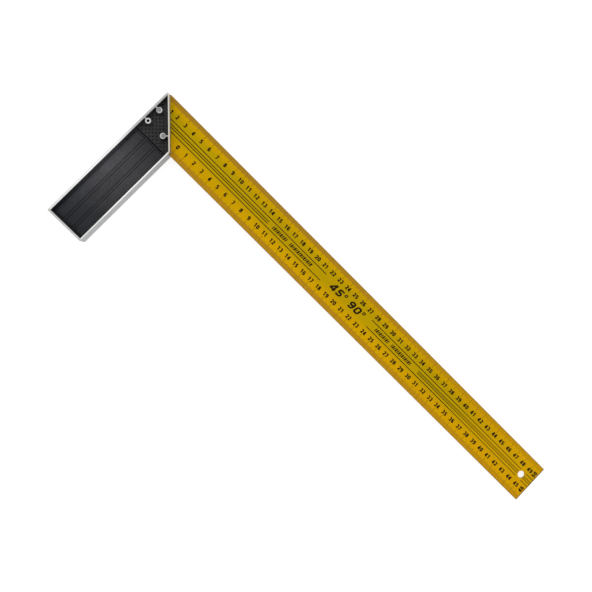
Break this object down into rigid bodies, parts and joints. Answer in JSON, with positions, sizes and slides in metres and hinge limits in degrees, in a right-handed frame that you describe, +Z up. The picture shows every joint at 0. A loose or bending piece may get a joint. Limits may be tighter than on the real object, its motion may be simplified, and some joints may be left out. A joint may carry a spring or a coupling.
{
  "type": "try and mitre square",
  "caption": "Steel try and mitre square: a long flat lacquered rule with centimetre scales, fixed at a right angle to a cast stock with a 45 degree head and moulded inserts.",
  "frame": {"origin": "inside corner of the square, where the blade's inner edge meets the stock's inner face, in the plane of the stock's underside rim", "axes": "+X along the blade to its tip, +Y from the blade's inner edge to its outer edge, so the stock runs along -Y, +Z up out of the front face"},
  "size_m": [0.5, 0.15, 0.02],
  "materials": {
    "blade_lacquer": "satin yellow lacquer over steel",
    "scale_ink": "matte printed ink",
    "stock_casting": "ground die casting",
    "rivet_metal": "satin",
    "insert_plastic": "fine moulded grain"
  },
  "bodies": {
    "root": {"blade": "blade_lacquer", "stock_frame": "stock_casting", "outer_rivet": "rivet_metal", "mitre_rivet": "rivet_metal", "tubular_rivet": "stock_casting", "front_corner_plate": "insert_plastic", "back_corner_plate": "insert_plastic", "front_grip_panel": "insert_plastic", "back_grip_panel": "insert_plastic"}
  },
  "joints": []
}
